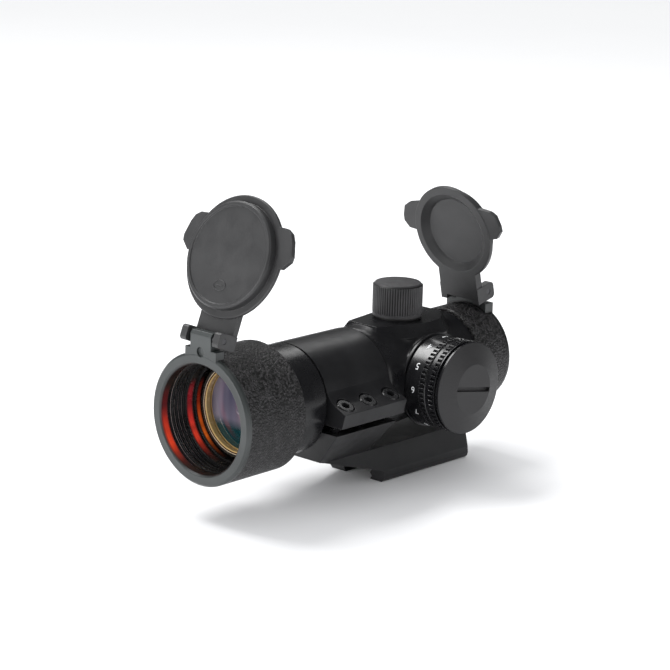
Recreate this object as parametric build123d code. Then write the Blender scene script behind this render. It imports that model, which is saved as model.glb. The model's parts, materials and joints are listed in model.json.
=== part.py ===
from build123d import *
from math import cos, pi, sin
import os

# Red dot finder on an 11 mm dovetail mount. Millimetres.
# The origin is the centre of the flat that rests on the rail. +X points forward along the sight line,
# +Y to the user's left (the brightness dial's side) and +Z up.

# ---- driving dimensions ----
AXIS_H = 27.7                       # sight line above the rail
FRONT_X, REAR_X = 90.0, -33.5       # planes of the two rims
TURRET_X = 4.0                      # elevation, windage and dial axes
RUN = 0.05                          # radial clearance of a running fit
FIT = 0.02                          # radial clearance of a fixed fit

TUBE_R, TUBE_BORE_R = 15.0, 13.2    # 30 mm main tube
TUBE_FRONT_X, TUBE_REAR_X = 60.0, -31.0
RING_REAR_X, RING_FRONT_X = 25.5, 53.0
RING_R = 16.9
BELL_REAR_X, BELL_R, BELL_FRONT_R = 53.3, 16.9, 18.0
BELL_BORE_R = 16.6

FLAT_Z = 17.2                       # turret flat above the sight line
FACET_DROP = 3.8                    # height of the sloped facets round it
FACET_SKIRT = 2.6                   # wall below the facets
BOSS_R, BOSS_FACE = 14.8, 16.0      # flange that the brightness dial turns against
NECK_R, NECK_H, NECK_BORE_R = 6.2, 4.6, 4.6

CAP_R, CAP_H, CAP_RIDGES = 7.85, 10.3, 60
CAP_GAP = 0.75                      # seal under each turret cap
DIAL_R, DIAL_FACE, DIAL_TEETH = 14.3, 24.3, 58
DIAL_STEPS, DETENT_R = 12, 12.0
SWITCH_FLOOR = 14.3
PIVOT_THREAD_R = 1.25               # M2.5 shoulder screw that the dial turns on
BATTERY_R, BATTERY_H = 10.0, 3.2    # CR2032 cell
CELL_LOW = 21.5                     # its inner face, from the sight line
WELL_FLOOR, PIVOT_R = 20.6, 2.0
CELL_CAP_FACE, CELL_CAP_TOP, CELL_CAP_FLAT_R = 30.1, 32.1, 7.8

INNER_R, INNER_BORE_R = 11.5, 10.5  # tube that carries the lens and the emitter
PIVOT_X = 50.0                      # its ball seat
LENS_X, LENS_R = 73.0, 13.55

SLIT_TOP_Z, SLIT_LOW_Z = -5.3, -7.9  # gap between the ring's two halves
FLANGE_Y, FLANGE_TOP_Z = 23.8, -0.8
RING_SCREW_X = (29.1, 39.1, 49.1)
RING_SCREW_Y = 20.3
FLANGE_SLOPE = 25.0                 # of the flange's top, degrees
WAIST_Y, WAIST_Z = 9.0, -20.3       # narrowest part of the base
RAIL_HALF_L = 20.2                  # half the length of the rail clamp
NOSE_X, NOSE_Z = 47.5, 8.0          # front end of the base's sloped underside
JAW_OUT_Y, JAW_LOW_Z = 11.0, -3.7   # fixed jaw, from the rail seat
JAW_LIP_Y, JAW_ROOT_Y = 5.05, 5.95
CLAMP_SCREW_X, CLAMP_SCREW_Z = 12.0, 3.3

# flip-up covers: rim radius, pin position, open angle
FRONT = dict(rim_r=20.0, bore_r=16.5, flange_r=18.5, plug_r=16.15, plug_h=2.8, disc_t=1.9, bevel_in=0.3,
             bevel_out=1.1, pin_in=2.0, pin_h=24.7, open_deg=201.5, knuckle_r=1.9, pin_r=0.8, ear_r=2.3,
             pad_half=6.3, leaf_half=7.5, leaf_end=-2.0, leaf_t=(1.0, 2.8), wing_turn=-0.7, wing_t=(0.0, 1.5),
             wing=((14.0, -11.2), (17.3, -11.1), (19.4, -9.9), (20.6, -7.8), (21.9, -3.5), (21.7, -1.8),
                   (19.1, 0.7), (15.0, 0.9)))
REAR = dict(rim_r=16.3, bore_r=13.6, flange_r=15.45, plug_r=13.2, plug_h=2.2, disc_t=2.8, bevel_in=1.3,
            bevel_out=0.3, pin_in=2.3, pin_h=21.0, open_deg=193.2, knuckle_r=2.0, pin_r=0.8, ear_r=2.7,
            pad_half=8.1, leaf_half=7.6, leaf_end=1.3, leaf_t=(0.1, 2.8), wing_turn=3.4, wing_t=(1.1, 2.5),
            wing=((11.0, -9.5), (12.6, -9.3), (17.0, -8.6), (18.9, -7.4), (20.0, -4.1), (20.1, -2.2),
                  (18.3, 0.1), (13.0, 0.9)))
LID_GAP = 0.2                       # lid flange to rim when shut
TAB_HALF, EAR_IN, EAR_OUT = 4.2, 5.4, 7.8
SLEEVE_FRONT = (65.4, 88.2)
SLEEVE_REAR = (-18.8, -32.0)


# ---- helpers ----
def spun(profile):
    """Solid of revolution about X from (along, radius) points."""
    return revolve(make_face(Polyline(*profile, close=True)), Axis.X)


def tube(a, b, outer, inner):
    """Plain tube along X from a to b."""
    return spun([(a, inner), (b, inner), (b, outer), (a, outer)])


def rod(a, b, radius):
    return spun([(a, 0), (b, 0), (b, radius), (a, radius)])


def on_axis(shape):
    return Pos(0, 0, AXIS_H) * shape


def up(shape):
    """Turn a shape built along X to stand along Z on the turret axis."""
    return Pos(TURRET_X, 0, AXIS_H) * Rot(0, -90, 0) * shape


def left(shape):
    """Turn a shape built along X to point along +Y from the turret axis."""
    return Pos(TURRET_X, 0, AXIS_H) * Rot(0, 0, 90) * shape


def right(shape):
    return Pos(TURRET_X, 0, AXIS_H) * Rot(0, 0, -90) * shape


def box(x, y, z):
    """Box from its (low, high) pairs."""
    size = [b - a for a, b in (x, y, z)]
    mid = [(a + b) / 2 for a, b in (x, y, z)]
    return Pos(*mid) * Box(*size)


def slab_x(points, a, b):
    """Outline in Y and Z, drawn out along X from a to b."""
    outline = Plane.YZ * make_face(Polyline(*points, close=True))
    return Pos(a, 0, 0) * extrude(outline, b - a, dir=(1, 0, 0))


def ridged(a, b, radius, count, depth):
    """Bar along X with straight ridges all round."""
    points = []
    for i in range(count):
        for part, r in ((0.0, radius - depth), (0.3, radius), (0.7, radius)):
            turn = 2 * pi * (i + part) / count
            points.append((r * cos(turn), r * sin(turn)))
    outline = Plane.YZ * make_face(Polyline(*points, close=True))
    return Pos(a, 0, 0) * extrude(outline, b - a, dir=(1, 0, 0))


def both_sides(shape):
    return shape + mirror(shape, Plane.XZ)


nodes = {}


# ---- main tube and turret housing ----
def turret_block():
    """Faceted block on top of the tube, with the elevation cap's flat on it."""
    dial_side = [(19.5, 5.3), (4.7, 11.9), (-4.0, 11.0), (-8.2, 8.1), (-12.1, 4.2)]
    far_side = [(-12.1, -4.2), (-8.2, -7.4), (-4.0, -8.6), (4.7, -8.6), (19.5, -6.2)]
    outline = make_face(Polyline(*dial_side, *far_side, close=True))
    top = Pos(0, 0, FLAT_Z) * outline
    block = extrude(top, FACET_DROP, dir=(0, 0, -1), taper=-30)
    rim = block.faces().sort_by(Axis.Z)[0]
    skirt = extrude(rim, FACET_SKIRT, dir=(0, 0, -1))
    return block + skirt + extrude(top, FACET_DROP + FACET_SKIRT + 2.0, dir=(0, 0, -1))


def flared_boss(face_r, root_r, face):
    """Trumpet-shaped boss, with its face that far from the sight line."""
    with BuildSketch() as sk:
        with BuildLine():
            Line((8.0, 0), (8.0, root_r))
            waist = (face - 3.4, root_r + 0.3 * (face_r - root_r))
            ThreePointArc((8.0, root_r), waist, (face - 0.8, face_r))
            Polyline((face - 0.8, face_r), (face, face_r), (face, 0), (8.0, 0))
        make_face()
    return revolve(sk.sketch, Axis.X)


def turret_neck():
    """Threaded neck of one adjuster, built up from the sight line."""
    post = rod(11.0, FLAT_Z, 8.6) + rod(FLAT_Z - 0.5, FLAT_Z + NECK_H, NECK_R)
    for i in range(3):
        post += rod(FLAT_Z + 1.5 + i, FLAT_Z + 1.9 + i, NECK_R + 0.15)
    return post


def turret_bores():
    return rod(15.6, 40, NECK_BORE_R) + rod(5.0, 15.7, 2.0)


def make_main_tube():
    body = on_axis(rod(TUBE_REAR_X, TUBE_FRONT_X, TUBE_R)) + on_axis(turret_block())
    body += left(flared_boss(BOSS_R, 11.6, BOSS_FACE)) + right(flared_boss(9.6, 8.8, FLAT_Z))
    body += up(turret_neck()) + right(turret_neck())
    body -= on_axis(rod(TUBE_REAR_X - 1, TUBE_FRONT_X + 1, TUBE_BORE_R))
    body -= up(turret_bores()) + right(turret_bores())
    body -= left(rod(SWITCH_FLOOR, 20, 9.6))
    body -= left(rod(10.0, 20, PIVOT_THREAD_R))
    body -= left(rod(10.0, 20, 1.2).moved(Location((0, 0, 6.0))))
    body -= left(rod(13.9, 20, 0.85).moved(Location((0, -DETENT_R, 0))))
    return body


nodes["main_tube"] = make_main_tube()


# ---- objective bell ----
def make_bell():
    bore = [(BELL_REAR_X, TUBE_R + FIT), (TUBE_FRONT_X, TUBE_R + FIT), (TUBE_FRONT_X, 15.3), (76.5, 15.3),
            (76.5, 15.8), (80.0, 15.8)]
    x = 80.0
    for _ in range(4):
        bore += [(x, 16.3), (x + 0.6, 16.3), (x + 0.6, BELL_BORE_R), (x + 1.5, BELL_BORE_R)]
        x += 1.5
    bore += [(87.0, BELL_BORE_R)]
    outer = [(87.0, BELL_FRONT_R), (66.0, BELL_FRONT_R), (65.2, BELL_R), (BELL_REAR_X + 0.4, BELL_R),
             (BELL_REAR_X, BELL_R - 0.4)]
    return on_axis(spun(bore + outer))


nodes["objective_bell"] = make_bell()


# ---- tilting optics ----
def make_inner_tube():
    outer = [(-24.0, INNER_R), (58.0, INNER_R), (66.0, 14.3), (75.0, 14.3)]
    inner = [(75.0, LENS_R + FIT), (LENS_X - 5.2, LENS_R + FIT), (LENS_X - 5.2, 12.4), (66.0, 12.4),
             (58.0, INNER_BORE_R), (-24.0, INNER_BORE_R)]
    body = on_axis(spun(outer + inner))
    return body - on_axis(box((-21.0, -13.0), (-2.5, 2.5), (-INNER_R - 1, -9.0)))


nodes["inner_tube"] = make_inner_tube()


def bulge_arc(edge, bulge, radius):
    """Point half way out on a spherical face, for the arc from its middle to its edge."""
    sphere_r = (radius ** 2 + bulge ** 2) / (2 * abs(bulge))
    sag = sphere_r - (sphere_r ** 2 - radius ** 2 / 4) ** 0.5
    return (edge + bulge - sag * bulge / abs(bulge), radius / 2)


def lens(front, front_bulge, back, back_bulge, radius):
    """Lens along X; each face's bulge is how far its middle stands out from its edge."""
    edge_f, edge_b = front - front_bulge, back + back_bulge
    with BuildSketch() as sk:
        with BuildLine():
            ThreePointArc((front, 0), bulge_arc(edge_f, front_bulge, radius), (edge_f, radius))
            Line((edge_f, radius), (edge_b, radius))
            ThreePointArc((edge_b, radius), bulge_arc(edge_b, -back_bulge, radius), (back, 0))
            Line((back, 0), (front, 0))
        make_face()
    return on_axis(revolve(sk.sketch, Axis.X))


nodes["objective_front_element"] = lens(LENS_X + 0.6, 1.2, LENS_X - 3.6, 1.0, LENS_R)
nodes["objective_rear_element"] = lens(LENS_X - 3.62, -1.0, LENS_X - 5.4, 0.3, LENS_R)
nodes["objective_retainer"] = on_axis(spun([(72.6, LENS_R), (75.0, LENS_R), (75.0, 13.0), (74.6, 12.7),
                                            (73.0, 12.7), (72.75, 13.0), (72.6, 13.3)]))
nodes["pivot_collar"] = on_axis((Pos(PIVOT_X, 0, 0) * Sphere(TUBE_BORE_R - RUN)
                                 & rod(PIVOT_X - 2.5, PIVOT_X + 2.5, 15))
                                - rod(PIVOT_X - 4, PIVOT_X + 4, INNER_R + RUN))
nodes["emitter_block"] = on_axis(box((-20.8, -13.2), (-2.3, 2.3), (-INNER_R + 0.1, -7.6))
                                 - box((-15.5, -13.0), (-0.9, 0.9), (-9.4, -7.0)))
nodes["emitter_led"] = on_axis(box((-15.5, -14.4), (-0.8, 0.8), (-9.4, -7.9)))
nodes["return_spring"] = on_axis(box((-4.0, 26.0), (-1.5, 1.5), (-13.0, -12.6))
                                 + box((20.0, 26.0), (-1.5, 1.5), (-12.7, -12.0)))

# ---- rear window ----
nodes["rear_window"] = on_axis(rod(-28.6, -26.6, TUBE_BORE_R - 0.1))
nodes["rear_window_seal"] = on_axis(tube(-26.6, -26.0, TUBE_BORE_R - FIT, 11.9))
nodes["rear_window_ring"] = on_axis(spun([(-30.6, 12.3), (-28.6, 12.0), (-28.6, TUBE_BORE_R - FIT),
                                          (-30.6, TUBE_BORE_R - FIT)]))


# ---- adjusters under the two turret caps ----
def make_turret(name, place):
    cap_low = FLAT_Z + CAP_GAP
    cap_top = cap_low + CAP_H
    cap = ridged(cap_low + 1.0, cap_top - 0.7, CAP_R, CAP_RIDGES, 0.3)
    cap += rod(cap_low, cap_low + 1.0, CAP_R - 0.05)
    cap += spun([(cap_top - 0.7, 0), (cap_top, 0), (cap_top, CAP_R - 0.75), (cap_top - 0.7, CAP_R - 0.2)])
    cap -= rod(cap_low - 1, cap_top - 1.6, NECK_R + 0.15 + RUN)
    nodes[f"{name}_cap"] = place(cap)
    nodes[f"{name}_cap_seal"] = place(tube(FLAT_Z + 0.02, cap_low - 0.03, CAP_R - 0.6, NECK_R + 0.2))
    drum = rod(15.75, 19.0, NECK_BORE_R - RUN) + rod(19.0, 20.8, 2.9)
    drum -= box((20.0, 21.0), (-0.5, 0.5), (-4, 4))
    drum -= rod(15.0, 18.7, 1.5 + 2 * RUN)
    nodes[f"{name}_adjuster"] = place(drum)
    pusher = spun([(INNER_R + 0.1, 0), (17.9, 0), (17.9, 1.5), (14.6, 1.5), (14.6, 1.9), (INNER_R + 0.7, 1.9),
                   (INNER_R + 0.1, 1.2)])
    nodes[f"{name}_plunger"] = place(pusher)
    nodes[f"{name}_retainer"] = place(tube(19.1, 20.3, NECK_BORE_R - FIT, 3.1))


make_turret("elevation", up)
make_turret("windage", right)


# ---- brightness dial, battery and its cap ----
def make_dial():
    band = ridged(DIAL_FACE - 2.1, DIAL_FACE - 0.3, DIAL_R, DIAL_TEETH, 0.8)
    root_r = DIAL_R - 0.8
    body = spun([(BOSS_FACE + 0.15, 0), (DIAL_FACE, 0), (DIAL_FACE, DIAL_R - 0.55),
                 (DIAL_FACE - 0.3, DIAL_R - 0.3), (DIAL_FACE - 0.3, root_r), (DIAL_FACE - 2.1, root_r),
                 (DIAL_FACE - 2.1, DIAL_R), (BOSS_FACE + 0.6, DIAL_R), (BOSS_FACE + 0.15, DIAL_R - 0.45)])
    body = body + band + rod(SWITCH_FLOOR + 0.3, BOSS_FACE + 0.3, 4.0)
    body -= rod(WELL_FLOOR, 40, BATTERY_R + 0.3)
    body -= rod(WELL_FLOOR + 2.0, 40, 11.8)
    body -= rod(10, 40, PIVOT_R + RUN)
    body -= rod(WELL_FLOOR - 1.1, 40, 3.6)
    pocket = Rot(0, 90, 0) * Cylinder(0.5, 0.8)
    for i in range(DIAL_STEPS):
        turn = 2 * pi * i / DIAL_STEPS
        body -= Pos(BOSS_FACE + 0.15, DETENT_R * cos(turn), DETENT_R * sin(turn)) * pocket
    return left(body)


def make_pivot_screw():
    """Shoulder screw that holds the dial on the tube."""
    body = rod(SWITCH_FLOOR + 0.05, WELL_FLOOR - 1.0, PIVOT_R) + rod(WELL_FLOOR - 1.0, WELL_FLOOR - 0.1, 3.4)
    body += rod(TUBE_BORE_R + 0.1, SWITCH_FLOOR + 0.1, PIVOT_THREAD_R - FIT)
    return left(body - box((WELL_FLOOR - 0.6, WELL_FLOOR), (-4, 4), (-0.4, 0.4)))


def make_battery_cap():
    low = DIAL_FACE + 0.1
    teeth = (low + 1.5, low + 3.2)
    neck_r = DIAL_R - 0.9
    body = ridged(*teeth, DIAL_R + 0.1, DIAL_TEETH, 0.8)
    foot = [(low, 0), (low, DIAL_R - 0.5), (low + 0.25, DIAL_R - 0.1), (teeth[0], DIAL_R - 0.1),
            (teeth[0], neck_r)]
    bead = [(teeth[1] + 0.15, neck_r), (teeth[1] + 0.15, DIAL_R), (teeth[1] + 0.6, DIAL_R),
            (teeth[1] + 0.6, neck_r)]
    face = CELL_CAP_FACE
    crown = [(face - 1.0, neck_r), (face - 1.0, DIAL_R - 0.2), (face - 0.8, DIAL_R), (face - 0.1, DIAL_R),
             (face, DIAL_R - 0.15), (CELL_CAP_TOP, CELL_CAP_FLAT_R), (CELL_CAP_TOP, 0)]
    body += spun(foot + bead + crown)
    body += rod(22.9, low + 0.1, 11.75 - RUN)
    body -= rod(22.0, 25.0, BATTERY_R + 0.3)
    slot = box((CELL_CAP_TOP - 1.2, CELL_CAP_TOP + 1), (-CELL_CAP_FLAT_R, CELL_CAP_FLAT_R), (-0.7, 0.7))
    body -= Rot(-10, 0, 0) * slot
    return left(body)


nodes["brightness_dial"] = make_dial()
nodes["dial_screw"] = make_pivot_screw()
nodes["battery_cap"] = make_battery_cap()
nodes["battery_cap_seal"] = left(tube(22.62, 22.88, 11.6, 10.7))
cell_top = CELL_LOW + BATTERY_H
nodes["battery"] = left(spun([(CELL_LOW, 0), (CELL_LOW, 8.6), (CELL_LOW + 0.3, BATTERY_R - 0.1),
                              (cell_top - 0.3, BATTERY_R), (cell_top, BATTERY_R - 0.3), (cell_top, 0)]))
nodes["battery_contact"] = left(tube(WELL_FLOOR + FIT, CELL_LOW - FIT, 5.0, 3.7))
nodes["switch_board"] = left(tube(SWITCH_FLOOR + 0.02, 15.2, 9.4, 4.2))
nodes["detent_ball"] = left(Sphere(0.75).moved(Location((BOSS_FACE - 0.65, -DETENT_R, 0))))
nodes["detent_spring"] = left(tube(13.92, 14.3, 0.7, 0.35).moved(Location((0, -DETENT_R, 0))))


# ---- ring and base ----
def ring_cap_outline():
    """Right-hand flange with its hollow run-out from the ring, in Y and Z."""
    with BuildSketch() as sk:
        with BuildLine():
            Line((10.0, 8.0), (15.6, 6.5))
            ThreePointArc((15.6, 6.5), (17.2, 3.2), (19.9, 1.0))
            Polyline((19.9, 1.0), (FLANGE_Y, FLANGE_TOP_Z), (FLANGE_Y - 1.2, SLIT_TOP_Z), (10.0, SLIT_TOP_Z),
                     (10.0, 8.0))
        make_face()
    return sk.sketch


def screw_place(x):
    """Left-hand screw's place, square to the sloping top of the flange, from the sight line."""
    return Pos(x, RING_SCREW_Y, 1.0) * Rot(-FLANGE_SLOPE, 0, 0)


def make_ring_cap():
    length = RING_FRONT_X - RING_REAR_X
    flange = Pos(RING_REAR_X, 0, 0) * extrude(Plane.YZ * ring_cap_outline(), length, dir=(1, 0, 0))
    hoop = rod(RING_REAR_X, RING_FRONT_X, RING_R)
    hoop -= box((RING_REAR_X - 1, RING_FRONT_X + 1), (-20, 20), (-20, SLIT_TOP_Z))
    body = hoop + both_sides(flange)
    body -= rod(RING_REAR_X - 1, RING_FRONT_X + 1, TUBE_R + FIT)
    body -= box((RING_REAR_X - 1, RING_FRONT_X + 1), (-TUBE_R - FIT, TUBE_R + FIT), (-20, 0))
    for x in RING_SCREW_X:
        body -= both_sides(screw_place(x) * (Pos(0, 0, 2.1) * Cylinder(3.0, 10) + Cylinder(1.6, 30)))
    return on_axis(body)


def make_ring_screws():
    """Six socket head screws, M3."""
    screws = []
    head = Pos(0, 0, -1.45) * Cylinder(2.75, 2.9)
    head = chamfer(head.edges().group_by(Axis.Z)[-1], 0.3)
    socket = Pos(0, 0, -1.4) * extrude(RegularPolygon(1.25, 6, major_radius=False), 2)
    shank = Pos(0, 0, -9.0) * Cylinder(1.5, 12.4)
    screw = head + shank - socket
    for x in RING_SCREW_X:
        placed = screw_place(x) * screw
        screws += [on_axis(placed), on_axis(mirror(placed, Plane.XZ))]
    return Compound(screws)


def rail_profile(sign):
    """Inside of a jaw below the rail seat: two lips with a groove between them."""
    return [(sign * y, z) for y, z in ((JAW_ROOT_Y, 0.0), (JAW_LIP_Y, -1.6), (JAW_ROOT_Y - 0.05, -2.7),
                                       (JAW_LIP_Y + 0.1, JAW_LOW_Z + 0.05), (JAW_LIP_Y + 0.4, JAW_LOW_Z))]


def make_base():
    waist = AXIS_H + WAIST_Z
    slope = [(20.8, AXIS_H + SLIT_LOW_Z), (WAIST_Y, waist), (-WAIST_Y, waist), (-20.8, AXIS_H + SLIT_LOW_Z)]
    saddle = slab_x(slope, RING_REAR_X + 0.9, RING_FRONT_X)
    rake = extrude(Plane.XZ * make_face(Polyline((RING_FRONT_X, AXIS_H + SLIT_LOW_Z), (NOSE_X, NOSE_Z - 2),
                                                 (RING_FRONT_X + 8, NOSE_Z - 2), (RING_FRONT_X + 8, 40),
                                                 (RING_FRONT_X, 40), close=True)), 40, both=True)
    block = slab_x([(WAIST_Y, waist + 0.01), (JAW_OUT_Y - 0.2, 0.0), (-JAW_OUT_Y + 0.2, 0.0),
                    (-WAIST_Y, waist + 0.01)], -RAIL_HALF_L, RING_FRONT_X)
    ramp_end = NOSE_Z + 8 * NOSE_Z / (NOSE_X - RAIL_HALF_L)
    ramp = extrude(Plane.XZ * make_face(Polyline((RAIL_HALF_L, 0.0), (NOSE_X + 8, ramp_end), (NOSE_X + 8, -5),
                                                 (RAIL_HALF_L, -5), close=True)), 40, both=True)
    body = saddle + block - ramp - rake
    jaw = slab_x(rail_profile(1) + [(JAW_OUT_Y - 1.1, JAW_LOW_Z), (JAW_OUT_Y - 0.35, JAW_LOW_Z + 0.6),
                                    (JAW_OUT_Y, -2.0), (JAW_OUT_Y - 0.2, 0.0), (JAW_ROOT_Y, 0.02)],
                 -RAIL_HALF_L, RAIL_HALF_L)
    body += jaw
    body -= on_axis(rod(RING_REAR_X, RING_FRONT_X + 1, TUBE_R + FIT))
    body -= box((-RAIL_HALF_L - 1, RAIL_HALF_L + 0.3), (-15, -8.4), (-1, 5.9))
    body -= box((-RAIL_HALF_L - 1, RAIL_HALF_L + 0.3), (-15, -JAW_ROOT_Y - 0.1), (-1, 0.0))
    for x in RING_SCREW_X:
        body -= on_axis(both_sides(screw_place(x) * Pos(0, 0, -10.5) * Cylinder(1.5 + FIT, 10)))
    for x in (-CLAMP_SCREW_X, CLAMP_SCREW_X):
        body -= Pos(x, -3.0, CLAMP_SCREW_Z) * Rot(90, 0, 0) * Cylinder(2.0 + RUN, 12.0)
    return body


def make_clamp_jaw():
    """Movable jaw on the side away from the dial."""
    gap = 0.1
    side = [(-JAW_ROOT_Y - gap, -gap)] + rail_profile(-1)[1:]
    side += [(-10.9, JAW_LOW_Z), (-11.8, JAW_LOW_Z + 0.9), (-11.8, 4.8)]
    side += [(-10.8, 5.8), (-8.5, 5.8), (-8.5, -gap)]
    lower = slab_x(side, -RAIL_HALF_L, RAIL_HALF_L)
    for x in (-CLAMP_SCREW_X, CLAMP_SCREW_X):
        lower -= Pos(x, -10, CLAMP_SCREW_Z) * Rot(90, 0, 0) * Cylinder(2.0 + RUN, 8.0)
    return lower


def make_clamp_screw(x):
    head = Pos(x, -13.45, CLAMP_SCREW_Z) * Rot(90, 0, 0) * Cylinder(3.4, 3.2)
    head = chamfer(head.edges().group_by(Axis.Y)[0], 0.35)
    shank = Pos(x, -4.9, CLAMP_SCREW_Z) * Rot(90, 0, 0) * Cylinder(2.0, 14.0)
    hexagon = extrude(RegularPolygon(1.5, 6, major_radius=False), 4)
    socket = Pos(x, -13.2, CLAMP_SCREW_Z) * Rot(90, 0, 0) * hexagon
    return head + shank - socket


nodes["ring_cap"] = make_ring_cap()
nodes["ring_screws"] = make_ring_screws()
nodes["mount_base"] = make_base()
nodes["clamp_jaw"] = make_clamp_jaw()
nodes["clamp_screw_front"] = make_clamp_screw(CLAMP_SCREW_X)
nodes["clamp_screw_rear"] = make_clamp_screw(-CLAMP_SCREW_X)


# ---- flip-up covers ----
# Each cover is built round a rim plane at x = 0, with the tube behind it at negative x, and then
# placed on its own end of the sight.
def at_front(shape):
    return Pos(FRONT_X, 0, AXIS_H) * shape


def at_rear(shape):
    return Pos(REAR_X, 0, AXIS_H) * Rot(0, 0, 180) * shape


def about_pin(c, shape):
    """Turn a bar built along Z so that it lies on the hinge pin."""
    return Pos(-c["pin_in"], 0, c["pin_h"]) * Rot(90, 0, 0) * shape


def hinge_ring(c, seat_r, depth):
    """Moulded ring with the middle knuckle of the hinge."""
    rim = c["rim_r"]
    bore = c["bore_r"]
    body = spun([(-depth, bore), (-0.6, bore), (0, bore + 0.6), (0, rim - 0.7), (-0.7, rim), (-1.75, rim),
                 (-1.75, rim - 0.35), (-depth, rim - 0.35)])
    body += tube(-depth - 6.0, -depth, seat_r + 0.6, seat_r + FIT)
    k = c["knuckle_r"]
    low = rim - 3.5 - c["pin_h"]
    side = [(c["pin_in"] - 0.1, low), (c["pin_in"] - 0.1, 0.42 * k), (0.58 * k, 0.96 * k),
            (-0.38 * k, 0.96 * k), (-0.92 * k, 0.38 * k), (-0.8 * k, -0.2 * k), (-0.8 * k, low)]
    outline = Plane.XZ * make_face(Polyline(*side, close=True))
    tab = Pos(-c["pin_in"], 0, c["pin_h"]) * extrude(outline, TAB_HALF, both=True)
    tab += box((-c["pin_in"] - 0.8 * k, -0.1), (-c["pad_half"], c["pad_half"]),
               (rim - 3.5, c["pin_h"] - 1.2 * c["ear_r"] - 0.6))
    tab -= rod(-20, -depth, seat_r + 0.61) + rod(-depth - 1, 5, bore + 0.8)
    tab -= about_pin(c, Cylinder(c["pin_r"], 30))
    arch = Pos(0, 0, rim + 0.5) * Rot(0, 90, 0) * Cylinder(1.5, 1.6)
    return body + tab - arch


def sleeve(c, seat_r, length, depth):
    """Grained rubber sleeve over the ring's skirt."""
    outer = c["rim_r"]
    body = spun([(-1.8, outer - 0.33), (-1.8, outer), (-length + 0.5, outer - 0.2), (-length, outer - 0.6),
                 (-length, seat_r + FIT), (-depth - 6.02, seat_r + FIT), (-depth - 6.02, seat_r + 0.62),
                 (-depth - 0.02, seat_r + 0.62), (-depth - 0.02, outer - 0.33)])
    half = c["pad_half"] + 0.05
    notch = box((-c["pin_in"] - 0.8 * c["knuckle_r"] - 0.05, 2), (-half, half), (outer - 4, outer + 3))
    return body - notch


def lid(c):
    """Lid in its shut place, hinge leaf at the top."""
    face = LID_GAP
    back = face + c["disc_t"]
    r = c["flange_r"]
    disc = spun([(face, 0), (face, r - c["bevel_in"]), (face + c["bevel_in"], r), (back - c["bevel_out"], r),
                 (back, r - c["bevel_out"]), (back, 0)])
    wing = slab_x(c["wing"], face + c["wing_t"][0], face + c["wing_t"][1])
    leaf_low, leaf_high = face + c["leaf_t"][0], face + c["leaf_t"][1]
    half = c["leaf_half"]
    leaf = box((leaf_low, leaf_high), (-half, half), (r - 3.5, c["pin_h"] + c["leaf_end"]))
    disc = disc + Rot(c["wing_turn"], 0, 0) * both_sides(wing) + leaf
    e = c["ear_r"]
    ear = box((-c["pin_in"] - e, leaf_high), (EAR_IN, EAR_OUT), (c["pin_h"] - e, c["pin_h"] + e))
    ear = fillet(ear.edges().filter_by(Axis.Y).group_by(Axis.X)[0], 0.5 * e)
    disc += both_sides(ear)
    disc += spun([(face + 0.1, 0), (face + 0.1, c["plug_r"]), (face - c["plug_h"] + 0.5, c["plug_r"]),
                  (face - c["plug_h"], c["plug_r"] - 0.5), (face - c["plug_h"], c["plug_r"] - 1.4),
                  (face - c["plug_h"] + 0.4, c["plug_r"] - 1.6), (face - c["plug_h"] + 0.4, 0)])
    dish_r = c["plug_r"] - 0.3
    floor = back - 2.0
    disc -= spun([(floor, 0), (floor, dish_r - 2.2), (floor + 0.6, dish_r - 1.6), (back - 0.5, dish_r - 0.5),
                  (back + 0.01, dish_r + 0.1), (back + 2, dish_r + 0.1), (back + 2, 0)])
    disc -= about_pin(c, Cylinder(c["pin_r"] + RUN, 30))
    return disc


def open_lid(c, shape):
    """Swing a shut lid open about its pin."""
    pin = Pos(-c["pin_in"], 0, c["pin_h"])
    return pin * Rot(0, -c["open_deg"], 0) * pin.inverse() * shape


def make_cover(name, c, place, seat_r, length, depth):
    nodes[f"{name}_hinge_ring"] = place(hinge_ring(c, seat_r, depth))
    nodes[f"{name}_sleeve"] = place(sleeve(c, seat_r, length, depth))
    nodes[f"{name}_lid"] = place(open_lid(c, lid(c)))
    nodes[f"{name}_hinge_pin"] = place(about_pin(c, Cylinder(c["pin_r"], 2 * EAR_OUT - 0.2)))
    coil = Cylinder(c["pin_r"] + 0.75, EAR_IN - TAB_HALF - 0.2) - Cylinder(c["pin_r"] + 0.1, 5)
    nodes[f"{name}_lid_spring"] = place(Pos(0, (TAB_HALF + EAR_IN) / 2, 0) * about_pin(c, coil))


make_cover("front", FRONT, at_front, BELL_FRONT_R, FRONT_X - SLEEVE_FRONT[0], 3.0)
make_cover("rear", REAR, at_rear, TUBE_R, SLEEVE_REAR[0] - REAR_X, 2.5)


# ---- write the parts ----
os.makedirs("parts", exist_ok=True)
for node, shape in nodes.items():
    export_step(shape, f"parts/{node}.step")
print(len(nodes), "nodes")
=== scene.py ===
import json
from math import cos, pi, radians, sin
import bmesh
import bpy
from mathutils import Matrix, Vector


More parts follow.
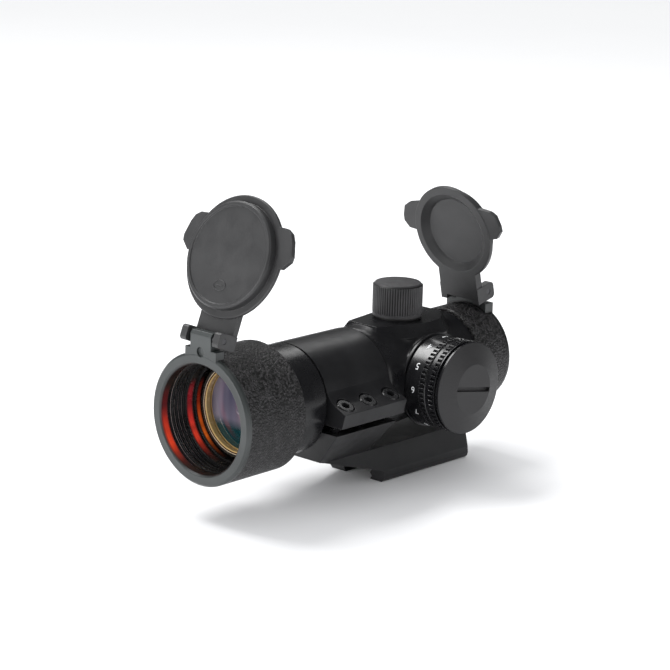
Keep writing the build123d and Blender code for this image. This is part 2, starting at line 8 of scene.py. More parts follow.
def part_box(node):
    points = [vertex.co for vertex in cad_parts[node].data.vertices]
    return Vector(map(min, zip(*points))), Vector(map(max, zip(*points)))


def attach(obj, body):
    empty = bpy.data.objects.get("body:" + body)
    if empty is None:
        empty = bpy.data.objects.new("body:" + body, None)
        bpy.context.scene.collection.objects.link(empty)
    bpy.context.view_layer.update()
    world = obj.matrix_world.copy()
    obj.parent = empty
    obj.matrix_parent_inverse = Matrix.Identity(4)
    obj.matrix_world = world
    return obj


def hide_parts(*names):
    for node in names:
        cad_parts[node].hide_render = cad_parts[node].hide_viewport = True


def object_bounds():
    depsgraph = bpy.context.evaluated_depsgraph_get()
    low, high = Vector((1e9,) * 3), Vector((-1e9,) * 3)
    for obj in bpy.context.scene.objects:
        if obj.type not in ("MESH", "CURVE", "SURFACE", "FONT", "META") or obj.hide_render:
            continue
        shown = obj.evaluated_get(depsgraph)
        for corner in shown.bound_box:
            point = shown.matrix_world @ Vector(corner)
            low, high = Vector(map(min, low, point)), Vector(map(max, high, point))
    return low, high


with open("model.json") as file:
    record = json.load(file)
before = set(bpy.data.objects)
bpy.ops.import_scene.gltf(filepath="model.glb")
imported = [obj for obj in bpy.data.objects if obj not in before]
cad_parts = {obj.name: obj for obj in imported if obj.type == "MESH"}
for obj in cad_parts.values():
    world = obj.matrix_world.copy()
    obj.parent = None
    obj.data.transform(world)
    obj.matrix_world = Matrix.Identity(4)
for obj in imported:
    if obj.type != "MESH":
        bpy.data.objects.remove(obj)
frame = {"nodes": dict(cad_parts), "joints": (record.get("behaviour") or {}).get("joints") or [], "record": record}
cad_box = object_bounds()

# Red dot finder on a dovetail mount. Metres, +X forward, +Y left, +Z up.
MM = 0.001


# ---- places, read from the frame ----
def centre(node):
    low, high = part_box(node)
    return (low + high) / 2


def half_size(node):
    low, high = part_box(node)
    return (high - low) / 2


AXIS_Z = centre("objective_front_element").z
DIAL = centre("brightness_dial")
DIAL_R = half_size("brightness_dial").x
JOINTS = {joint["name"]: joint for joint in frame["joints"]}


# ---- materials ----
for plain in list(bpy.data.materials):
    bpy.data.materials.remove(plain)


class Finish:
    """A principled material, with short ways to add the nodes that vary it."""

    def __init__(self, name, colour, roughness, **sockets):
        self.material = bpy.data.materials.new(name)
        self.material.use_nodes = True
        self.tree = self.material.node_tree
        self.shader = self.tree.nodes["Principled BSDF"]
        self.shader.inputs["Base Color"].default_value = (*colour, 1.0)
        self.shader.inputs["Roughness"].default_value = roughness
        for socket, value in sockets.items():
            self.shader.inputs[socket.replace("_", " ")].default_value = value
        self.place = self.tree.nodes.new("ShaderNodeTexCoord").outputs["Object"]
        self.normal = None

    def node(self, kind, inputs=(), **settings):
        node = self.tree.nodes.new("ShaderNode" + kind)
        for key, value in settings.items():
            setattr(node, key, value)
        for key, value in dict(inputs).items():
            if isinstance(value, bpy.types.NodeSocket):
                self.tree.links.new(value, node.inputs[key])
            else:
                node.inputs[key].default_value = value
        return node

    def stretched(self, scale):
        return self.node("Mapping", {"Vector": self.place, "Scale": scale}).outputs["Vector"]

    def noise(self, size, detail=3.0, stretch=(1, 1, 1)):
        """Noise whose blobs are about that many metres across."""
        return self.node("TexNoise", {"Vector": self.stretched(stretch), "Scale": 0.6 / size,
                                      "Detail": detail, "Roughness": 0.6}).outputs["Fac"]

    def cells(self, size, feature="F1"):
        """Cells about that many metres across, with wandering edges."""
        moved = self.node("VectorMath", {0: self.place, 1: self.swirl(size)}, operation="ADD")
        inputs = {"Vector": moved.outputs["Vector"], "Scale": 1.0 / size}
        return self.node("TexVoronoi", inputs, feature=feature).outputs["Distance"]

    def swirl(self, size):
        """A small offset that makes cell edges wander."""
        noise = self.node("TexNoise", {"Vector": self.place, "Scale": 1.2 / size, "Detail": 2.0})
        centred = self.node("VectorMath", {0: noise.outputs["Color"], 1: (0.5, 0.5, 0.5)},
                            operation="SUBTRACT")
        inputs = {0: centred.outputs["Vector"], "Scale": 0.9 * size}
        return self.node("VectorMath", inputs, operation="SCALE").outputs["Vector"]

    def spread(self, value, low, high, to_low=0.0, to_high=1.0):
        return self.node("MapRange", {"Value": value, "From Min": low, "From Max": high, "To Min": to_low,
                                      "To Max": to_high}).outputs["Result"]

    def maths(self, operation, a, b=0.0):
        return self.node("Math", {0: a, 1: b}, operation=operation).outputs["Value"]

    def radius(self, a, b):
        """Length of the offset whose two parts are a and b."""
        squares = [self.maths("MULTIPLY", part, part) for part in (a, b)]
        return self.maths("SQRT", self.maths("ADD", *squares))

    def mix(self, factor, a, b):
        """Colour between a and b; either is a colour or a socket."""
        node = self.node("Mix", data_type="RGBA")
        for socket, value in ((0, factor), (6, a), (7, b)):
            if isinstance(value, bpy.types.NodeSocket):
                self.tree.links.new(value, node.inputs[socket])
            else:
                node.inputs[socket].default_value = value if socket == 0 else (*value, 1.0)
        return node.outputs[2]

    def axis_value(self, axis):
        return self.node("SeparateXYZ", {0: self.place}).outputs[axis]

    def feeding(self, name):
        """Socket that feeds that input of the shader."""
        return self.shader.inputs[name].links[0].from_socket

    def colour(self, socket):
        self.tree.links.new(socket, self.shader.inputs["Base Color"])

    def rough(self, value, low, high):
        self.tree.links.new(self.spread(value, 0.3, 0.7, low, high), self.shader.inputs["Roughness"])

    def round_edges(self, radius):
        """Softens the light on sharp edges, and returns a mask of where they are."""
        bevel = self.node("Bevel", {"Radius": radius}, samples=6)
        self.normal = bevel.outputs["Normal"]
        flat = self.node("NewGeometry").outputs["Normal"]
        same = self.node("VectorMath", {0: self.normal, 1: flat}, operation="DOT_PRODUCT").outputs["Value"]
        self.tree.links.new(self.normal, self.shader.inputs["Normal"])
        return self.spread(same, 0.995, 0.86)

    def bump(self, height, depth, strength=1.0):
        """Adds relief of that many metres."""
        inputs = {"Height": height, "Distance": depth, "Strength": strength}
        if self.normal:
            inputs["Normal"] = self.normal
        self.normal = self.node("Bump", inputs).outputs["Normal"]
        self.tree.links.new(self.normal, self.shader.inputs["Normal"])


def anodised(name, dark, light, roughness, edge=0.25 * MM, rubbed_and_lit_edge=None, grain=0.006 * MM, spread=0.05,
             **sockets):
    """Black anodised or painted metal: even colour, fine grain, edges lighter, a little rubbed on most finishes
    and a painted highlight where the edge colour is bright.
    """
    f = Finish(name, dark, roughness, **sockets)
    edges = f.round_edges(edge)
    patches = f.noise(6 * MM, 4.0)
    body = f.mix(f.spread(patches, 0.35, 0.65), dark, light)
    # edges lighter: rubbed metal, and on inner_black a painted highlight
    rubbed_and_lit_mask = f.maths("MULTIPLY", edges, f.spread(f.noise(1.5 * MM), 0.35, 0.75, 0.1, 0.8))
    f.colour(f.mix(rubbed_and_lit_mask, body, rubbed_and_lit_edge or light))
    f.rough(f.noise(2.5 * MM, 4.0), roughness - spread, roughness + spread)
    f.bump(f.noise(0.18 * MM, 2.0), grain)
    return f


def plastic(name, dark, light, roughness, grain=0.012 * MM, edge=0.3 * MM, **sockets):
    """Moulded plastic: fine spark-eroded texture and faint flow marks."""
    f = Finish(name, dark, roughness, **sockets)
    edges = f.round_edges(edge)
    flow = f.noise(9 * MM, 2.0, (1.0, 0.35, 1.0))
    body = f.mix(f.spread(flow, 0.3, 0.7), dark, light)
    f.colour(f.mix(f.maths("MULTIPLY", edges, 0.35), body, tuple(1.6 * c for c in light)))
    f.rough(f.noise(3 * MM), roughness - 0.06, roughness + 0.06)
    f.bump(f.noise(0.22 * MM, 2.0), grain)
    return f


def grained_rubber(name):
    """Leather-grained rubber of the two sleeves."""
    f = Finish(name, (0.03, 0.028, 0.03), 0.55, Specular_IOR_Level=0.45)
    pebbles = f.cells(0.75 * MM)
    fine = f.noise(0.3 * MM, 3.0)
    painted_shade_valley = f.spread(pebbles, 0.2, 0.7)
    tone = f.mix(f.spread(f.noise(1.6 * MM, 4.0), 0.35, 0.65), (0.014, 0.013, 0.014), (0.050, 0.047, 0.050))
    # painted shade: the creases of the grain darkened to near black
    f.colour(f.mix(painted_shade_valley, tone, (0.003, 0.003, 0.003)))
    f.rough(fine, 0.34, 0.55)
    f.bump(f.maths("MULTIPLY", painted_shade_valley, -1.0), 0.30 * MM)
    f.bump(fine, 0.12 * MM)
    return f


def ridged_metal(name, node, across):
    """Matte black knurling, with shade painted dark between its crests.

    across are the two axes square to the cap's own.
    """
    f = anodised(name, (0.026, 0.025, 0.027), (0.040, 0.039, 0.041), 0.5, edge=0.12 * MM,
                 rubbed_and_lit_edge=(0.09, 0.09, 0.092), grain=0.012 * MM, spread=0.07)
    middle, crest = centre(node), half_size(node)[across[0]]
    offsets = [f.maths("SUBTRACT", f.axis_value(i), middle[i]) for i in across]
    radius = f.radius(*offsets)
    wall = f.spread(radius, crest - 0.50 * MM, crest - 0.40 * MM)
    painted_shade_valley = f.maths("MULTIPLY", wall, f.spread(radius, crest - 0.08 * MM, crest - 0.24 * MM))
    # painted shade: between the crests the colour goes to near black
    f.colour(f.mix(painted_shade_valley, f.feeding("Base Color"), (0.004, 0.004, 0.004)))
    return f


def brushed(name, colour, roughness, stretch, **sockets):
    """Metal or paint with fine parallel brushing."""
    f = Finish(name, colour, roughness, **sockets)
    edges = f.round_edges(0.15 * MM)
    lines = f.noise(0.25 * MM, 3.0, stretch)
    tone = f.mix(f.spread(lines, 0.3, 0.7), tuple(0.75 * c for c in colour), tuple(1.3 * c for c in colour))
    f.colour(f.mix(f.maths("MULTIPLY", edges, 0.4), tone, tuple(2.0 * c for c in colour)))
    f.rough(lines, roughness - 0.08, roughness + 0.08)
    f.bump(lines, 0.01 * MM)
    return f


BATTERY_FACE_DEPTH = 2.1 * MM    # from the cap's top down to its toothed band


def battery_cap_finish(name):
    """Brushed grey-black face on a glossy black toothed band."""
    f = brushed(name, (0.016, 0.0155, 0.0165), 0.5, (0.1, 1.0, 1.0), Specular_IOR_Level=0.4)
    face_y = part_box("battery_cap")[1].y - BATTERY_FACE_DEPTH
    face = f.spread(f.axis_value(1), face_y - 0.1 * MM, face_y)
    f.colour(f.mix(face, (0.006, 0.006, 0.007), f.feeding("Base Color")))
    mixed = f.maths("MULTIPLY", f.feeding("Roughness"), f.spread(face, 0.0, 1.0, 0.5, 1.0))
    f.tree.links.new(mixed, f.shader.inputs["Roughness"])
    return f


def steel(name, colour, roughness):
    """Bare metal with faint handling marks."""
    f = Finish(name, colour, roughness, Metallic=1.0)
    marks = f.noise(0.8 * MM, 4.0)
    f.colour(f.mix(f.spread(marks, 0.3, 0.7), tuple(0.7 * c for c in colour), colour))
    f.rough(f.noise(0.4 * MM), roughness - 0.06, roughness + 0.1)
    f.bump(marks, 0.004 * MM)
    return f


def white_paint(name):
    """Filled-in paint of the dial's numerals, a little uneven."""
    f = Finish(name, (0.8, 0.8, 0.8), 0.5)
    f.colour(f.mix(f.spread(f.noise(0.4 * MM), 0.35, 0.6), (0.55, 0.56, 0.57), (0.86, 0.87, 0.88)))
    f.bump(f.noise(0.15 * MM), 0.005 * MM)
    return f


# each painted red reflection band inside the bell: its place along the bore and half its width in millimetres,
# and its colours high and low
PAINTED_RED_BANDS = (
    (88.2, 1.3, (0.20, 0.008, 0.012), (0.75, 0.05, 0.012)),
    (78.6, 1.2, (0.70, 0.015, 0.03), (0.95, 0.06, 0.025)),
    (75.4, 0.8, (0.45, 0.03, 0.01), (0.9, 0.16, 0.02)),
)
PAINTED_RIDGE_HIGHLIGHTS = (81.2, 82.7, 84.2, 85.7)    # places of the painted highlights on the edges of the baffle grooves, in millimetres
PAINTED_RIDGE_HALF = 0.12                    # half the width of a lit groove edge, in millimetres
# strength of the painted glow of the red reflection bands; the bore holds no lamp
PAINTED_GLOW_STRENGTH = 0.35
INSIDE_R = 16.75 * MM                # what lies nearer the sight line than this is inside the bell


def bore_radius(f):
    """Socket with a point's distance from the sight line."""
    return f.radius(f.axis_value(1), f.maths("SUBTRACT", f.axis_value(2), AXIS_Z))


def band(f, place, middle, half):
    """1 near the middle, fading to 0 just past half a width from it; both in millimetres."""
    off = f.maths("ABSOLUTE", f.maths("SUBTRACT", place, middle * MM))
    return f.spread(off, 1.1 * half * MM, 0.5 * half * MM)


def inside_glow(f):
    """Paints the red reflection of the lens coating on the right wall of the bore, in its colour and as a faint
    glow, and paints highlights on groove edges; first darkens the inside of the bore to near black.
    """
    x, y, height = f.axis_value(0), f.axis_value(1), f.maths("SUBTRACT", f.axis_value(2), AXIS_Z)
    inside = f.spread(bore_radius(f), INSIDE_R + 0.05 * MM, INSIDE_R - 0.05 * MM)
    wall = f.maths("MULTIPLY", f.spread(y, -3.0 * MM, -13.0 * MM), inside)
    strength = f.maths("MULTIPLY", wall, f.spread(height, 8.0 * MM, -3.0 * MM))
    patches = f.spread(f.noise(5 * MM, 2.0, (0.3, 1.0, 1.0)), 0.35, 0.6, 0.35, 1.0)
    fade = f.spread(height, -14.5 * MM, -10.0 * MM, 0.15, 1.0)
    strength = f.maths("MULTIPLY", f.maths("MULTIPLY", strength, patches), fade)
    lower = f.spread(height, 1.0 * MM, -9.0 * MM)
    colour = f.mix(f.maths("MULTIPLY", inside, 0.85), f.feeding("Base Color"), (0.006, 0.006, 0.006))
    glow = None
    # painted reflection: each band mixes its red into the wall's colour and into the glow
    for middle, half, high, low in PAINTED_RED_BANDS:
        share = f.maths("MULTIPLY", band(f, x, middle, half), strength)
        tint = f.mix(lower, high, low)
        colour = f.mix(share, colour, tint)
        glow = f.mix(share, glow or (0.0, 0.0, 0.0), tint)
    f.tree.links.new(glow, f.shader.inputs["Emission Color"])
    f.shader.inputs["Emission Strength"].default_value = PAINTED_GLOW_STRENGTH
    # painted highlights: pale lines on the groove edges
    for middle in PAINTED_RIDGE_HIGHLIGHTS:
        share = f.maths("MULTIPLY", band(f, x, middle, PAINTED_RIDGE_HALF), f.maths("MULTIPLY", wall, 0.6))
        colour = f.mix(share, colour, (0.6, 0.5, 0.48))
    f.colour(colour)


PAINTED_GOLD_HIGHLIGHT = (12.8, 0.16)      # radius and half width of each painted highlight on the retaining ring's bevels, in millimetres
PAINTED_CREAM_HIGHLIGHT = (13.42, 0.12)


def retainer_finish(name):
    """Black retaining ring of the lens, with amber and cream highlights painted on its bevels."""
    f = Finish(name, (0.03, 0.02, 0.015), 0.25, Coat_Weight=0.5)
    radius = bore_radius(f)
    brown = f.mix(f.noise(3 * MM), (0.02, 0.008, 0.006), (0.07, 0.025, 0.012))
    with_gold_highlight = f.mix(band(f, radius, *PAINTED_GOLD_HIGHLIGHT), brown, (0.62, 0.42, 0.17))
    f.colour(f.mix(band(f, radius, *PAINTED_CREAM_HIGHLIGHT), with_gold_highlight, (0.6, 0.5, 0.36)))
    f.rough(f.noise(1.0 * MM), 0.2, 0.32)
    return f


def coated_glass(name):
    """Coated lens, its colour a painted reflection of the coating: lavender in the middle, browner towards +Y,
    teal low down and amber at the rim.
    """
    f = Finish(name, (0.2, 0.2, 0.3), 0.05, Specular_IOR_Level=0.7, Coat_Weight=0.6, Coat_Roughness=0.03)
    height = f.maths("SUBTRACT", f.axis_value(2), AXIS_Z)
    reflection_marks = f.spread(f.noise(5 * MM, 1.0, (1.0, 1.4, 0.25)), 0.38, 0.62)
    painted_coat_reflection = f.mix(reflection_marks, (0.05, 0.047, 0.075), (0.14, 0.125, 0.165))
    painted_side_tint = f.maths("MULTIPLY", f.spread(f.axis_value(1), -2.0 * MM, 6.0 * MM), 0.55)
    painted_coat_reflection = f.mix(painted_side_tint, painted_coat_reflection, (0.16, 0.09, 0.07))
    painted_coat_reflection = f.mix(f.spread(height, -3.5 * MM, -6.5 * MM), painted_coat_reflection, (0.004, 0.028, 0.032))
    f.colour(f.mix(f.spread(bore_radius(f), 12.3 * MM, 12.75 * MM), painted_coat_reflection, (0.5, 0.32, 0.12)))
    return f


def circuit_board(name):
    """Green solder mask with lighter tracks."""
    f = Finish(name, (0.02, 0.16, 0.06), 0.4)
    tracks = f.spread(f.cells(1.6 * MM, "DISTANCE_TO_EDGE"), 0.05, 0.07)
    f.colour(f.mix(tracks, (0.05, 0.3, 0.12), (0.015, 0.13, 0.05)))
    f.bump(tracks, 0.03 * MM)
    return f


PAINTED_PALER_SPAN = (0.3, 1.2)      # distances from the object between which the floor's colour is painted paler, as painted light


def pale_floor(name):
    """Matt paper sweep; its colour turns paler further from the object, painted light that blends the far floor
    into the white backdrop.
    """
    f = Finish(name, (0.85, 0.85, 0.86), 0.75)
    near = f.mix(f.spread(f.noise(60 * MM, 2.0), 0.3, 0.7), (0.83, 0.83, 0.84), (0.88, 0.88, 0.89))
    away = f.node("VectorMath", {0: f.place}, operation="LENGTH").outputs["Value"]
    f.colour(f.mix(f.spread(away, *PAINTED_PALER_SPAN), near, (0.99, 0.99, 0.99)))
    return f


def make_finishes():
    black, soft_black = (0.005, 0.005, 0.006), (0.009, 0.009, 0.010)
    bell = anodised("bell_black", black, soft_black, 0.26, grain=0.004 * MM, Specular_IOR_Level=0.35)
    inside_glow(bell)
    ring = plastic("ring_plastic", (0.022, 0.025, 0.025), (0.038, 0.043, 0.043), 0.34)
    inside_glow(ring)
    finishes = [
        anodised("hard_anodised", black, soft_black, 0.30, rubbed_and_lit_edge=(0.04, 0.04, 0.042), Specular_IOR_Level=0.35),
        bell,
        anodised("mount_black", (0.007, 0.007, 0.008), (0.012, 0.012, 0.013), 0.36, rubbed_and_lit_edge=(0.05, 0.05, 0.052),
                 Specular_IOR_Level=0.3),
        ridged_metal("cap_black", "elevation_cap", (0, 1)),
        anodised("dial_black", (0.007, 0.007, 0.008), (0.011, 0.011, 0.012), 0.22, edge=0.15 * MM,
                 rubbed_and_lit_edge=(0.07, 0.07, 0.072), grain=0.003 * MM, Coat_Weight=0.15, Coat_Roughness=0.15),
        battery_cap_finish("battery_cap_black"),
        anodised("screw_black", (0.010, 0.010, 0.011), (0.016, 0.016, 0.017), 0.26, edge=0.12 * MM,
                 rubbed_and_lit_edge=(0.10, 0.10, 0.105)),
        plastic("lid_plastic", (0.023, 0.023, 0.024), (0.030, 0.030, 0.031), 0.44),
        ring,
        grained_rubber("sleeve_rubber"),
        steel("pin_steel", (0.10, 0.10, 0.105), 0.38),
        # its bright cream edge colour is a painted highlight on the front edge of the inner tube
        anodised("inner_black", (0.010, 0.010, 0.010), (0.016, 0.015, 0.014), 0.3, edge=0.1 * MM,
                 rubbed_and_lit_edge=(0.5, 0.38, 0.2)),
        coated_glass("lens_glass"),
        steel("adjuster_brass", (0.62, 0.46, 0.2), 0.32),
        plastic("seal_rubber", (0.010, 0.010, 0.010), (0.014, 0.014, 0.014), 0.6),
        steel("cell_steel", (0.7, 0.7, 0.68), 0.22),
        circuit_board("board_green"),
        plastic("led_red", (0.6, 0.03, 0.02), (0.7, 0.05, 0.03), 0.2),
    ]
    return {f.material.name: f.material for f in finishes}


FINISHES = make_finishes()


def finish_nodes():
    """Gives every CAD node the finish that the record names for it."""
    for part in frame["record"]["subparts"]:
        node = frame["nodes"][part["node"]]
        node.data.materials.clear()
        node.data.materials.append(FINISHES[part["material_slot"]])


    windage = ridged_metal("windage_cap_black", "windage_cap", (0, 2)).material
    frame["nodes"]["windage_cap"].data.materials[0] = windage
    ring = frame["nodes"]["objective_retainer"]
    ring.data.materials[0] = retainer_finish("lens_retainer").material


finish_nodes()


# ---- pieces ----
def add_mesh(name, mesh, slot, body="root", material=None):
    """Adds a piece that rides on the body, in the slot's own finish unless a material is given."""
    piece = bpy.data.objects.new(name, mesh)
    bpy.context.scene.collection.objects.link(piece)
    mesh.materials.clear()
    mesh.materials.append(material or FINISHES[slot])
    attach(piece, body)
    return piece


def letter_mesh(text, height):
    """Flat mesh of a numeral in its own X and Y, centred, that tall."""
    curve = bpy.data.curves.new("numeral", "FONT")
    curve.body = text
    curve.size = 1.0
    curve.resolution_u = 4
    temp = bpy.data.objects.new("numeral", curve)
    bpy.context.scene.collection.objects.link(temp)
    mesh = bpy.data.meshes.new_from_object(temp)
    bpy.data.objects.remove(temp)
    points = [v.co.copy() for v in mesh.vertices]
    low = Vector((min(p.x for p in points), min(p.y for p in points), 0))
    high = Vector((max(p.x for p in points), max(p.y for p in points), 0))
    scale = height / (high.y - low.y)
    for v in mesh.vertices:
        v.co = (v.co - (low + high) / 2) * scale
    return mesh


def modified(name, source, *modifiers):
    """New mesh from the source with its modifiers applied."""
    temp = bpy.data.objects.new(name, source)
    bpy.context.scene.collection.objects.link(temp)
    for kind, settings in modifiers:
        modifier = temp.modifiers.new(kind.title(), kind)
        for key, value in settings.items():
            setattr(modifier, key, value)
    graph = bpy.context.evaluated_depsgraph_get()
    mesh = bpy.data.meshes.new_from_object(temp.evaluated_get(graph))
    bpy.data.objects.remove(temp)
    return mesh


def add_spun(work, profile, steps=96):
    """Adds a closed solid of revolution about the sight line, from (along, radius) points in millimetres."""
    rings = []
    for along, radius in profile:
        turns = [2 * pi * i / steps for i in range(steps)]
        rings.append([work.verts.new((along * MM, radius * MM * cos(t), AXIS_Z + radius * MM * sin(t)))
                      for t in turns])
    for first, second in zip(rings, rings[1:]):
        for i in range(steps):
            j = (i + 1) % steps
            work.faces.new((first[i], first[j], second[j], second[i]))
    work.faces.new(rings[0][::-1])
    work.faces.new(rings[-1])


# swell of the housing behind the ring, as (along, radius) in millimetres
SHOULDER = ((-9.0, 15.0), (4.0, 15.6), (16.0, 16.5), (25.3, 16.8))
FAIRING_CUTS = ((27 * MM, 1), (-18 * MM, -1))    # ends of the copied housing, with the side cut away
FAIRING_X = (-17 * MM, 25.4 * MM)                # stretch of the smoothed copy that is kept
FAIRING_R = 14.0 * MM                            # what lies nearer the sight line is inside the tube
VOXEL = 0.5 * MM
SEAL_GAP = 0.1 * MM                              # from the fairing to a cap's seal


def turret_fairing():
    """Soft hollow blends between the turret block, the dial's boss and the tube.

    A smoothed copy of the housing: its outer edges sink into the real one, and its hollows stand out of it.
    """
    source = frame["nodes"]["main_tube"].data.copy()
    work = bmesh.new()
    work.from_mesh(source)
    bmesh.ops.remove_doubles(work, verts=work.verts, dist=0.001 * MM)
    for x, side in FAIRING_CUTS:
        geometry = work.verts[:] + work.edges[:] + work.faces[:]
        cut = bmesh.ops.bisect_plane(work, geom=geometry, plane_co=(x, 0, 0), plane_no=(side, 0, 0),
                                     clear_outer=True)
        edges = [e for e in cut["geom_cut"] if isinstance(e, bmesh.types.BMEdge)]
        bmesh.ops.triangle_fill(work, edges=edges, use_beauty=True)
    add_spun(work, SHOULDER)
    bmesh.ops.recalc_face_normals(work, faces=work.faces)
    work.to_mesh(source)
    work.free()
    mesh = modified("turret_fairing", source,
                    ("REMESH", dict(mode="VOXEL", voxel_size=VOXEL)),
                    ("SMOOTH", dict(factor=0.5, iterations=70)))
    work = bmesh.new()
    work.from_mesh(mesh)
    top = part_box("elevation_cap_seal")[0].z - SEAL_GAP
    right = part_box("windage_cap_seal")[1].y + SEAL_GAP
    unwanted = [v for v in work.verts if v.co.z > top or v.co.y < right
                or Vector((v.co.y, v.co.z - AXIS_Z)).length < FAIRING_R
                or not FAIRING_X[0] <= v.co.x <= FAIRING_X[1]]
    bmesh.ops.delete(work, geom=unwanted, context="VERTS")
    for face in work.faces:
        face.smooth = True
    work.to_mesh(mesh)
    work.free()
    add_mesh("turret_fairing", mesh, slot="hard_anodised")


turret_fairing()


NUMERAL_COUNT = 12
NUMERAL_Y = 19.9 * MM         # middle of the numerals' band on the dial
NUMERAL_TALL = 2.1 * MM
NUMERAL_SQUEEZE = 0.95        # their width, against the font's own
NUMERAL_LIFT = 0.05 * MM      # how far the paint stands off the dial


def dial_numerals():
    """White numerals printed round the dial; their tops point against the dial's turn."""
    white = white_paint("numeral_white").material
    lift = DIAL_R + NUMERAL_LIFT
    for k in range(NUMERAL_COUNT):
        mesh = letter_mesh(str(k), NUMERAL_TALL)
        middle = radians(360 / NUMERAL_COUNT * (NUMERAL_COUNT / 2 - k))
        for v in mesh.vertices:
            turn = middle - v.co.y / DIAL_R
            v.co = (DIAL.x + lift * cos(turn), NUMERAL_Y - NUMERAL_SQUEEZE * v.co.x,
                    DIAL.z + lift * sin(turn))
        add_mesh(f"dial_numeral_{k}", mesh, slot="dial_black", body="dial", material=white)


dial_numerals()


def wire(name, points, radius, slot, body):
    """Round wire through the points."""
    curve = bpy.data.curves.new(name, "CURVE")
    curve.dimensions = "3D"
    curve.bevel_depth = radius
    curve.bevel_resolution = 3
    curve.use_fill_caps = True
    spline = curve.splines.new("POLY")
    spline.points.add(len(points) - 1)
    for target, p in zip(spline.points, points):
        target.co = (*p, 1.0)
    piece = bpy.data.objects.new(name, curve)
    bpy.context.scene.collection.objects.link(piece)
    curve.materials.append(FINISHES[slot])
    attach(piece, body)
    return piece


SPRING_GAUGE = 0.19 * MM      # half the wire's thickness
SPRING_TURNS = 2.6
SPRING_STEPS = 22             # points in each turn


def lid_spring(end):
    """Torsion spring on the hinge pin, in place of the plain coil envelope."""
    node = f"{end}_lid_spring"
    low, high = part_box(node)
    middle = (low + high) / 2
    coil_r = (high.z - low.z) / 2 - SPRING_GAUGE
    span = high.y - low.y - 2 * SPRING_GAUGE
    count = int(SPRING_TURNS * SPRING_STEPS)
    points = []
    for i in range(count + 1):
        turn = 2 * pi * i / SPRING_STEPS
        points.append((middle.x + coil_r * cos(turn), low.y + SPRING_GAUGE + span * i / count,
                       middle.z + coil_r * sin(turn)))
    piece = wire(f"{end}_torsion_spring", points, SPRING_GAUGE, "pin_steel", "root")
    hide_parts(node)


lid_spring("front")
lid_spring("rear")


def on_open_lid(point):
    """Where a point of the shut front lid is once it is open; given in millimetres from the sight line."""
    hinge = JOINTS["front_lid_swing"]
    pin = Vector(hinge["pos_m"])
    opened = Matrix.Rotation(-radians(hinge["range_deg"][1]), 3, Vector(hinge["axis"]))
    return pin + opened @ (Vector(point) * MM + Vector((0, 0, AXIS_Z)) - pin)


# the plain mark moulded on the front lid's plug, in millimetres with the lid shut
MARK_FACE_X, MARK_Z = 87.75, 9.2
MARK_HALF_Y, MARK_HALF_Z = 2.3, 1.5
MARK_BAR_HALF = 1.1
MARK_STEPS = 40
MARK_WIRE_R = 0.13 * MM


def lid_mark():
    """Plain moulded ring and bar on the inside of the front lid."""
    turns = [2 * pi * i / MARK_STEPS for i in range(MARK_STEPS + 1)]
    ring = [on_open_lid((MARK_FACE_X, MARK_HALF_Y * cos(t), MARK_Z + MARK_HALF_Z * sin(t))) for t in turns]
    wire("front_lid_mark_ring", ring, MARK_WIRE_R, "lid_plastic", "front_lid_body")
    bar = [on_open_lid((MARK_FACE_X, y, MARK_Z)) for y in (-MARK_BAR_HALF, 0.0, MARK_BAR_HALF)]
    wire("front_lid_mark_bar", bar, MARK_WIRE_R, "lid_plastic", "front_lid_body")


lid_mark()


# ---- stage, lights and camera ----
FLOOR_HALF = 4.0
FLOOR_GAP = 0.05 * MM         # below the object's lowest point


def make_floor():
    low = cad_box[0].z - FLOOR_GAP
    mesh = bpy.data.meshes.new("floor")
    corners = [(FLOOR_HALF * x, FLOOR_HALF * y, low) for x, y in ((-1, -1), (1, -1), (1, 1), (-1, 1))]
    mesh.from_pydata(corners, [], [(0, 1, 2, 3)])
    floor = bpy.data.objects.new("floor", mesh)
    bpy.context.scene.collection.objects.link(floor)
    mesh.materials.append(pale_floor("floor_pale").material)


# brightness of the white walls of the studio, as they light the object and as its gloss shows them
WALL_LIGHT = 0.95
WALL_GLOSS = 0.11


def softbox(name, place, target, size, power):
    lamp = bpy.data.lights.new(name, "AREA")
    lamp.shape = "RECTANGLE"
    lamp.size, lamp.size_y = size
    lamp.energy = power
    piece = bpy.data.objects.new(name, lamp)
    piece.location = place
    piece.rotation_euler = (Vector(target) - Vector(place)).to_track_quat("-Z", "Y").to_euler()
    bpy.context.scene.collection.objects.link(piece)


LIT_POINT = (0.03, 0.0, 0.03)
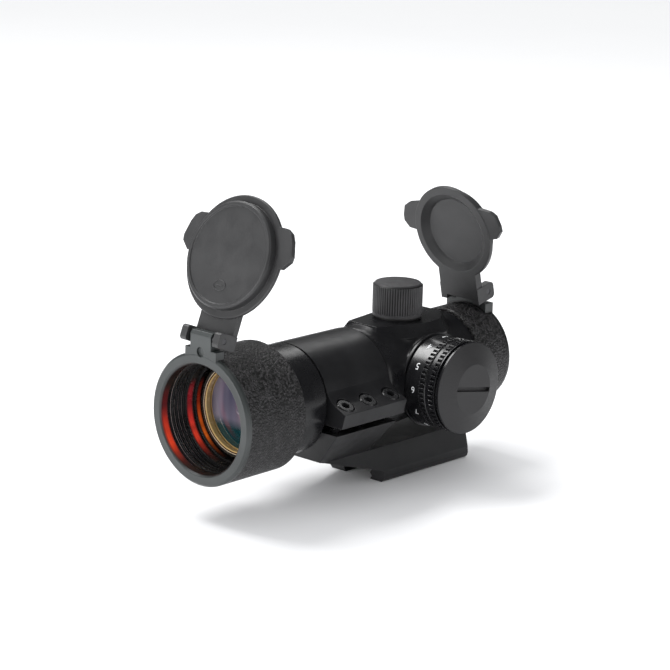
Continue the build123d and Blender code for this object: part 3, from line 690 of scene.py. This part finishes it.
# each softbox: its name, place, size and power in watts
SOFTBOXES = (
    ("key_above", (0.12, -0.42, 0.70), (0.5, 0.3), 5.0),
    ("front_low", (0.85, -0.10, 0.16), (0.5, 0.4), 5.0),
    ("fill_right", (-0.15, 0.80, 0.20), (0.5, 0.4), 0.9),
    ("back_rim", (-0.45, -0.35, 0.55), (0.4, 0.2), 0.8),
)


def make_lights():
    """Softboxes, and white walls whose brightness depends on what sees them."""
    for name, place, size, power in SOFTBOXES:
        softbox(name, place, LIT_POINT, size, power)
    world = bpy.data.worlds.new("studio")
    world.use_nodes = True
    tree = world.node_tree
    back = tree.nodes["Background"]
    back.inputs["Color"].default_value = (0.98, 0.99, 1.0, 1.0)
    path = tree.nodes.new("ShaderNodeLightPath")
    level = 1.0
    for ray, brightness in (("Is Diffuse Ray", WALL_LIGHT), ("Is Glossy Ray", WALL_GLOSS)):
        step = tree.nodes.new("ShaderNodeMapRange")
        tree.links.new(path.outputs[ray], step.inputs["Value"])
        if isinstance(level, float):
            step.inputs["To Min"].default_value = level
        else:
            tree.links.new(level, step.inputs["To Min"])
        step.inputs["To Max"].default_value = brightness
        level = step.outputs["Result"]
    tree.links.new(level, back.inputs["Strength"])
    bpy.context.scene.world = world


CAMERA_PLACE = Vector((0.60105, 0.52045, 0.23935))
CAMERA_TARGET = Vector((0.11649, 0.0769, 0.07252))
CAMERA_ROLL = radians(1.52)
CAMERA_LENS = 140.03          # in millimetres, on a sensor 36 mm wide


def make_camera():
    """Camera at the photograph's viewing angle."""
    place = CAMERA_PLACE
    forward = (CAMERA_TARGET - place).normalized()
    right = forward.cross(Vector((0, 0, 1))).normalized()
    up = right.cross(forward)
    tilt, level = sin(CAMERA_ROLL), cos(CAMERA_ROLL)
    right, up = right * level + up * tilt, up * level - right * tilt
    lens = bpy.data.cameras.new("camera")
    lens.sensor_width = 36.0
    lens.lens = CAMERA_LENS
    lens.clip_start = 0.01
    camera = bpy.data.objects.new("camera", lens)
    rows = [(right[i], up[i], -forward[i], place[i]) for i in range(3)]
    camera.matrix_world = Matrix((*rows, (0, 0, 0, 1)))
    bpy.context.scene.collection.objects.link(camera)
    bpy.context.scene.camera = camera


make_floor()
make_lights()
make_camera()
bpy.context.scene.view_settings.view_transform = "Standard"
